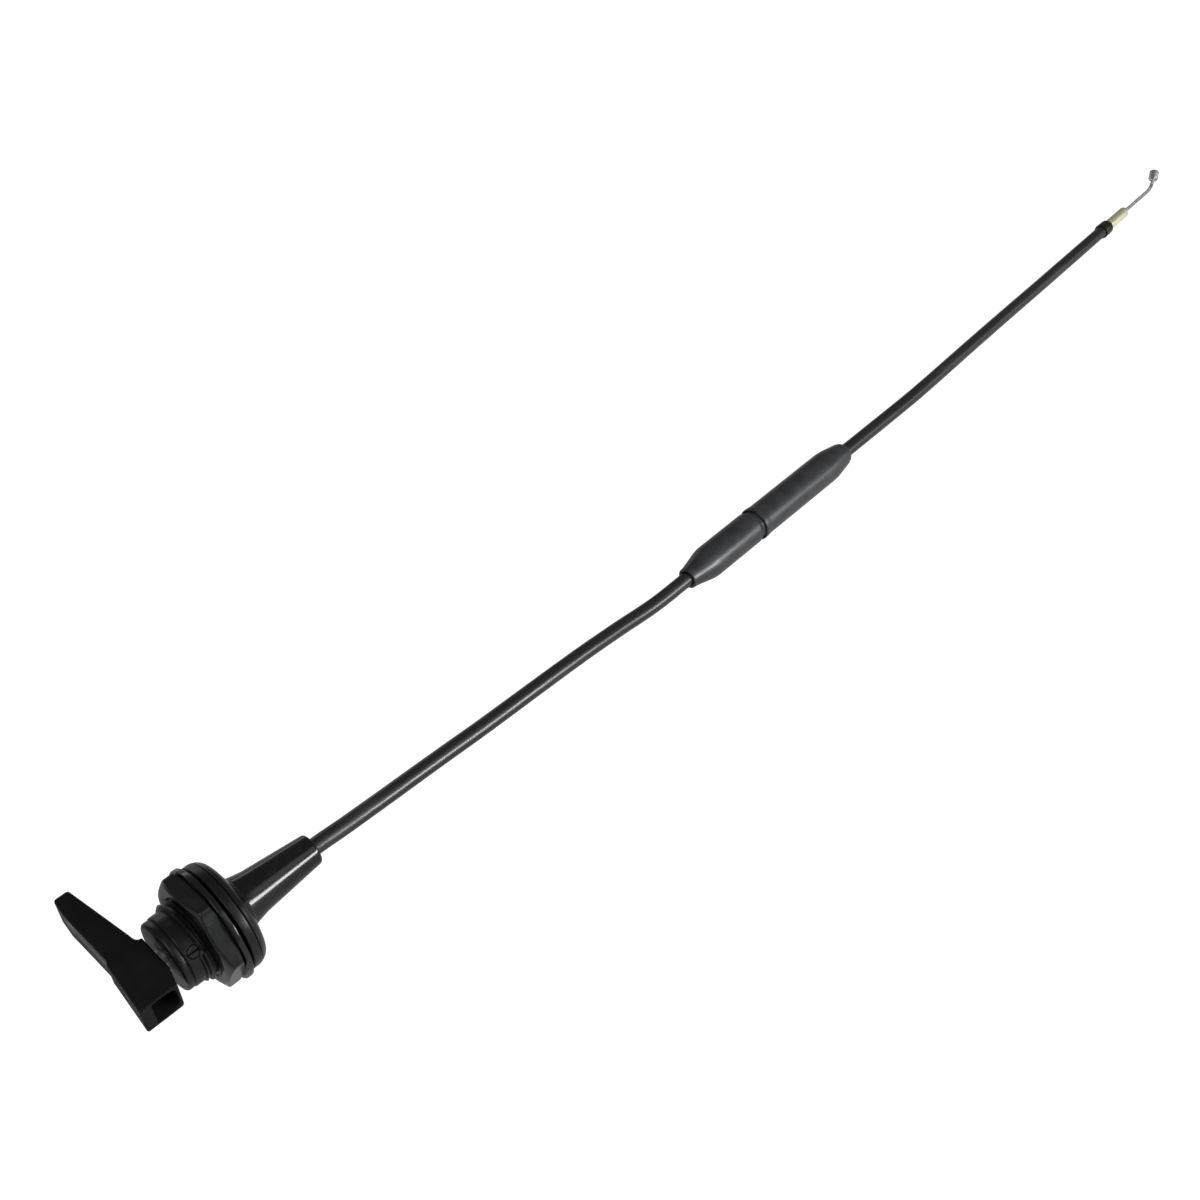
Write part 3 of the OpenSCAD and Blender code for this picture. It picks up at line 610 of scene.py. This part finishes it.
nose_x, thread_x, tail_end_x = -16.2, -10.8, 29.0
collar_r, rim_r, flange_r, flange_t = 10.4, 10.65, 16.0, 2.5
bush_seat_r, rod_bore_r = 4.53, 3.05
tail_r, tail_end_r, taper_x = 5.8, 3.7, 7.8
rib_r, rib_start, rib_end = 8.3, 4.1, 5.5

shape = turned([(bush_seat_r, nose_x, 0.15), (collar_r, nose_x, 1.1), (collar_r, -14.35, 0.3),
                (10.05, -14.25, 0.1), (10.05, -14.05, 0.1), (rim_r, -13.8, 0.3),
                (rim_r, thread_x), (bush_seat_r, thread_x)], steps=128)
drilled("nose_collar", shape, coat, screw_hole, "housing", "housing_black", "housing")

shape = threaded(crest=11.95, root=10.8, pitch=2.0, start=thread_x + 0.01, stop=0.01, bore=4.6,
                 chamfer=0.8)
drilled("panel_thread", shape, coat, screw_hole, "housing", "housing_black")

shape = turned([(rod_bore_r, 0), (flange_r, 0, 0.4), (flange_r, flange_t, 0.5),
                (tail_r, flange_t), (tail_r, rib_start), (rib_r, rib_start, 0.2),
                (rib_r, rib_end, 0.2), (tail_r, rib_end), (tail_r, taper_x),
                (tail_end_r, tail_end_x, 0.2), (cap_seat_r, tail_end_x), (cap_seat_r, 20.5),
                (wire_hole_r, 20.5), (wire_hole_r, 18.5), (rod_bore_r, 18.5)], steps=128)
make("flange_and_tail", shape, coat, "housing", "housing_black")

# Panel nut and washer ---------------------------------------------------------------------------
# A thin hexagon nut of 30 mm across its flats, chamfered at both ends by turning, and a plain
# flat washer under it. Both are steel with the same black coat, a little smoother.

nut_low, nut_high = -7.5, -2.55
nut_flat_r, nut_bore_r, nut_face_r = 15.0, 12.0, 14.6
nut_first = math.radians(51.8)
nut_angles = [nut_first + math.radians(360 * k / 144) for k in range(144)]


def hexagon(angle, sharpness=60):
    """The nut's radius at an angle, with slightly rounded corners."""
    near = sum(max(0.0, math.cos(angle - nut_first - math.radians(30 + 60 * k))) ** sharpness
               for k in range(6))
    return nut_flat_r / near ** (1 / sharpness)


def round_ring(x, radius):
    """A round edge of the nut."""
    return [(x, radius * math.cos(a), radius * math.sin(a)) for a in nut_angles]


def six_ring(depth_at, inset=0.0):
    """A six-sided edge of the nut, whose depth goes by its radius."""
    ring = []
    for a in nut_angles:
        radius = hexagon(a)
        ring.append((depth_at(radius), (radius - inset) * math.cos(a),
                     (radius - inset) * math.sin(a)))
    return ring


def front_cone(radius):
    """Where the front chamfer's cone lies along the axis at a radius."""
    return nut_low + (radius - nut_face_r) * 0.48


def back_cone(radius):
    """Where the back chamfer's cone lies along the axis at a radius."""
    return nut_high - (radius - nut_flat_r) * 0.345


shape = skin([round_ring(nut_low + 3, nut_bore_r), round_ring(nut_low + 0.4, nut_bore_r),
              round_ring(nut_low + 0.05, nut_bore_r + 0.35),
              round_ring(nut_low, nut_bore_r + 0.5), round_ring(nut_low, nut_face_r),
              six_ring(lambda r: front_cone(r - 0.35), 0.35),
              six_ring(lambda r: front_cone(r) + 0.03, 0.1),
              six_ring(lambda r: front_cone(r) + 0.25),
              six_ring(lambda r: front_cone(r) + 0.45),
              six_ring(back_cone),
              round_ring(nut_high, nut_flat_r - 0.02), round_ring(nut_high, nut_bore_r)])
bmesh.ops.delete(shape, geom=[f for f in shape.faces if len(f.verts) > 100], context="FACES_ONLY")
open_edges = [e for e in shape.edges if len(e.link_faces) == 1]
bmesh.ops.bridge_loops(shape, edges=open_edges)

smooth_coat = Finish("smooth_black_coat")
wear = smooth_coat.noise(260, 4)
smooth_coat.surface(
    Base_Color=smooth_coat.blend(wear.ramp(0.5, 0.75), (0.008, 0.0085, 0.0095, 1),
                                 (0.018, 0.019, 0.021, 1)),
    Roughness=0.13 + 0.1 * wear,
    Specular_IOR_Level=0.45,
    Normal=smooth_coat.bump(smooth_coat.noise(1800, 2), 0.015 * mm, 0.35))
make("hex_nut", shape, smooth_coat, "panel_nut", "black_nut", "panel_nut")

washer_r, washer_hole_r = 17.0, 12.25
shape = turned([(washer_hole_r, -2.5, 0.1), (washer_r, -2.5, 0.3), (washer_r, -1, 0.3),
                (washer_hole_r, -1, 0.1)], steps=128)
make("flat_washer", shape, smooth_coat, "panel_washer", "black_nut", "panel_washer")

# Boot -------------------------------------------------------------------------------------------
# A smooth black rubber boot. Its round base has a domed shoulder and sits on the flange, held by
# a rib of the tail, and its long cone narrows to the sheath to keep water out.


def arc(radius, x, r, first, last, steps=8):
    """Profile points on an arc round a (radius, x) centre, with angles from the radius axis."""
    turns = [math.radians(first + (last - first) * k / steps) for k in range(steps + 1)]
    return [(radius + r * math.cos(a), x + r * math.sin(a)) for a in turns]


boot_fit, boot_end_x, boot_grip_r = 0.06, 31.2, 2.56
boot_start_x, base_hole_r = flange_t + 0.03, 5.9
shape = turned([(base_hole_r, boot_start_x), (15.5, boot_start_x, 0.2), (15.8, 2.83)]
               + arc(12.9, 2.2, 2.9, 15, 65) + arc(8.3, 7.8, 1, 255, 190)
               + [(7.05, 8.6), (6.35, 12), (4.6, boot_end_x - 0.4, 0.5), (4.25, boot_end_x, 0.2),
                  (boot_grip_r, boot_end_x), (boot_grip_r, tail_end_x + 0.05),
                  (tail_end_r + boot_fit, tail_end_x + 0.05), (tail_r + boot_fit, taper_x),
                  (tail_r + boot_fit, rib_end + 0.05), (rib_r + boot_fit, rib_end + 0.05),
                  (rib_r + boot_fit, rib_start - 0.05), (base_hole_r, rib_start - 0.05)],
               steps=128)

rubber = Finish("boot_rubber")
bloom = rubber.noise(180, 4)
rubber.surface(
    Base_Color=rubber.blend(bloom.ramp(0.45, 0.75), (0.006, 0.006, 0.0065, 1),
                            (0.012, 0.012, 0.0125, 1)),
    Roughness=0.14 + 0.08 * bloom,
    Specular_IOR_Level=0.42,
    Normal=rubber.bump(rubber.noise(1900, 2), 0.02 * mm, 0.35))
make("rubber_boot_skin", shape, rubber, "housing", "boot_rubber", "rubber_boot")

# Adjuster ---------------------------------------------------------------------------------------
# The in-line adjuster takes up slack. Its hollow 5 mm screw has a fine thread and a round head,
# which takes the near sheath's cap, and it runs in a grooved barrel with a lock nut. All is
# zinc-plated steel, but for the nut.

adjuster = (Matrix.Translation(Vector((190, 4.95, -11.45)) * mm)
            @ Matrix.Rotation(math.atan(0.038), 4, "Z"))
head_start, head_end, screw_end = 7, 17, 40
screw_r, head_r = 2.5, 4.3

plated = Finish("zinc_plate")
spangle = plated.noise(700, 4)
plated.surface(
    Base_Color=plated.blend(spangle.ramp(0.4, 0.7), (0.60, 0.60, 0.60, 1), (0.44, 0.44, 0.45, 1)),
    Metallic=1.0, Roughness=0.3 + 0.16 * spangle,
    Normal=plated.bump(plated.noise(3000, 3), 0.01 * mm, 0.4))

shape = turned([(wire_hole_r, head_start + 8.05), (cap_seat_r, head_start + 8.05),
                (cap_seat_r, head_start, 0.1), (head_r, head_start, 0.4),
                (head_r, head_end - 0.8, 0.2), (screw_r, head_end, 0.2),
                (2.05, head_end + 0.05), (wire_hole_r, head_end + 0.05)], adjuster)
screw_head = make("adjuster_head", shape, plated, "housing", "plated_steel", "adjuster_screw")

shape = threaded(crest=screw_r, root=2.06, pitch=0.8, start=head_end, stop=screw_end,
                 bore=wire_hole_r, place=adjuster, steps=40)
screw_thread = make("adjuster_thread", shape, plated, "housing", "plated_steel")

# Adjuster sleeves -------------------------------------------------------------------------------
# Two dark grey rubber sleeves cover the adjuster. The short one is tucked 3 mm into the long
# one's mouth, and both taper to a blunt end that grips the sheath.

sleeve_r, tucked_r, sleeve_grip_r = 5.75, 5.2, 2.8
shape = turned([(sleeve_grip_r, -0.9, 0.1), (3.6, -0.9, 0.3), (3.85, 1.2, 0.8), (5.45, 8, 1.5),
                (sleeve_r, 10, 1.0), (sleeve_r, 32.7, 0.5), (tucked_r, 33.8, 0.3),
                (tucked_r, 38, 0.1), (4.55, 38, 0.1), (4.55, 6.4), (sleeve_grip_r, 4)], adjuster)

grey_rubber = Finish("grey_rubber")
chalk = grey_rubber.noise(240, 5)
grey_rubber.surface(
    Base_Color=grey_rubber.blend(chalk.ramp(0.35, 0.75), (0.025, 0.026, 0.028, 1),
                                 (0.044, 0.045, 0.048, 1)),
    Roughness=0.27 + 0.16 * chalk,
    IOR=1.5,
    Normal=grey_rubber.bump(grey_rubber.noise(2200, 2), 0.03 * mm, 0.4))
short_sleeve = make("short_rubber_sleeve", shape, grey_rubber, "short_sleeve", "sleeve_rubber",
                    "short_sleeve")

shape = turned([(5.5, 35, 0.1), (sleeve_r, 35, 0.1), (6, 35.3, 0.15), (6, 36.6, 0.3),
                (sleeve_r, 38, 0.5), (sleeve_r, 77.6, 2.5), (4.25, 86.2, 0.6), (3.7, 87.4, 0.4),
                (sleeve_grip_r, 87.6, 0.1), (sleeve_grip_r, 81), (4.65, 74), (4.65, 41),
                (5.5, 39.5)], adjuster)
long_sleeve = make("long_rubber_sleeve", shape, grey_rubber, "long_sleeve", "sleeve_rubber",
                   "long_sleeve")

# Cable end --------------------------------------------------------------------------------------
# A small black cap holds the ferrule on the sheath's end. The ferrule is a plain turned brass
# tube that sits in the bracket's hole, and the nipple is a steel barrel on the wire's end.

cap_hole_r, cap_r, cap_l = 2.53, 3.1, 5.8
ferrule_r, ferrule_hole_r, ferrule_end = 2.25, 1.2, 22.0
nipple_r, nipple_start, nipple_end = 2.0, 0.7, 4.7

shape = turned([(cap_hole_r, 0, 0.1), (cap_r, 0, 0.35), (cap_r, cap_l, 0.8), (1.98, cap_l, 0.1),
                (1.98, 4.72), (cap_hole_r, 4.72)], cable_end, steps=64)
end_cap = make("end_cap_shell", shape, rubber, "far_conduit", "cap_plastic", "end_cap")

shape = turned([(ferrule_hole_r, 3.1), (2.5, 3.1, 0.2), (2.5, 4.6, 0.2), (1.95, 4.6),
                (1.95, cap_l + 0.1), (ferrule_r, cap_l + 0.1, 0.2), (ferrule_r, ferrule_end, 0.35),
                (ferrule_hole_r, ferrule_end, 0.15)], cable_end, steps=64)
brass = Finish("pale_brass")
lines = brass.noise(2600, 3, stretch=(1, 0.15, 0.15))
tarnish = brass.noise(420, 4)
brass.surface(
    Base_Color=brass.blend(tarnish.ramp(0.35, 0.7), (0.97, 0.93, 0.66, 1),
                           (0.90, 0.84, 0.54, 1)),
    Metallic=0.75, Roughness=0.28 + 0.14 * tarnish,
    Normal=brass.bump(lines, 0.01 * mm, 0.5))
ferrule = make("ferrule_tube", shape, brass, "far_conduit", "pale_brass", "end_ferrule")

nipple_place = (Matrix.Translation(cable_end @ bent_place(bend_angle))
                @ (cable_end @ bend_plane).to_quaternion().to_matrix().to_4x4()
                @ Matrix.Rotation(bend_angle, 4, "Z"))
shape = turned([(0, 4.25), (0.78, 4.25), (0.78, nipple_start), (nipple_r, nipple_start, 0.3),
                (nipple_r, nipple_end, 0.35), (0, nipple_end)], nipple_place, steps=64,
               hollow=False)
nipple = make("wire_nipple", shape, plated, "tip", "plated_steel", "end_nipple")

# Rod, bush and detent ---------------------------------------------------------------------------
# The plated steel rod slides in a brass bush behind a rubber ring. A cross pin holds it in the
# handle, and a ball pressed by a spring and a slotted screw bears on it.

seal_x, seal_wire_r = -3.97, 0.7
shape = turned(arc(rod_bore_r + seal_wire_r, seal_x, seal_wire_r, 0, 340, steps=17), steps=64)
seal_rubber = Finish("seal_rubber")
seal_rubber.surface(
    Base_Color=seal_rubber.blend(seal_rubber.noise(500, 3), (0.008, 0.008, 0.008, 1),
                                 (0.016, 0.016, 0.016, 1)),
    Roughness=0.4 + 0.1 * seal_rubber.noise(300, 3),
    Normal=seal_rubber.bump(seal_rubber.noise(2500, 2), 0.02 * mm, 0.3))
make("seal_ring", shape, seal_rubber, "housing", "seal_rubber", "rod_seal")


def turned_brass(name, light, dark):
    """A bar-turned brass with fine lathe lines and stains."""
    made = Finish(name)
    stain = made.noise(500, 4)
    made.surface(Base_Color=made.blend(stain.ramp(0.4, 0.7), light, dark),
                 Metallic=1.0, Roughness=0.3 + 0.15 * stain,
                 Normal=made.bump(made.noise(3000, 3, stretch=(1, 0.2, 0.2)), 0.01 * mm, 0.5))
    return made


# The guide bush's brass is painted near black: painted shade for the dark gap between the handle
# and the collar, where the bush's end shows.
shade_darkened_brass = turned_brass("shade_darkened_brass", (0.10, 0.075, 0.04, 1), (0.06, 0.045, 0.03, 1))
clean_brass = turned_brass("clean_brass", (0.52, 0.39, 0.19, 1), (0.36, 0.26, 0.13, 1))

# Black oxide for the detent screw, made darker still: painted shade for the deep hole it sits in.
shaded_oxide = Finish("oxide_and_painted_shade")
shaded_oxide.surface(
    Base_Color=shaded_oxide.blend(shaded_oxide.noise(900, 3), (0.003, 0.003, 0.003, 1), (0.007, 0.007, 0.007, 1)),
    Roughness=0.42 + 0.1 * shaded_oxide.noise(1600, 2), Specular_IOR_Level=0.2,
    Normal=shaded_oxide.bump(shaded_oxide.noise(3000, 2), 0.01 * mm, 0.3))

for node, finish in (("guide_bush", shade_darkened_brass), ("lock_nut", clean_brass), ("pull_rod", plated),
                     ("handle_pin", plated), ("detent_ball", plated), ("detent_spring", plated),
                     ("detent_screw", shaded_oxide), ("near_ferrule", plated), ("near_cap", plated),
                     ("far_cap", plated), ("adjuster_barrel", plated),
                     ("inner_wire_near", steel), ("inner_wire_middle", steel)):
    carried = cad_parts[node]
    carried.data.materials.clear()
    carried.data.materials.append(finish.material)
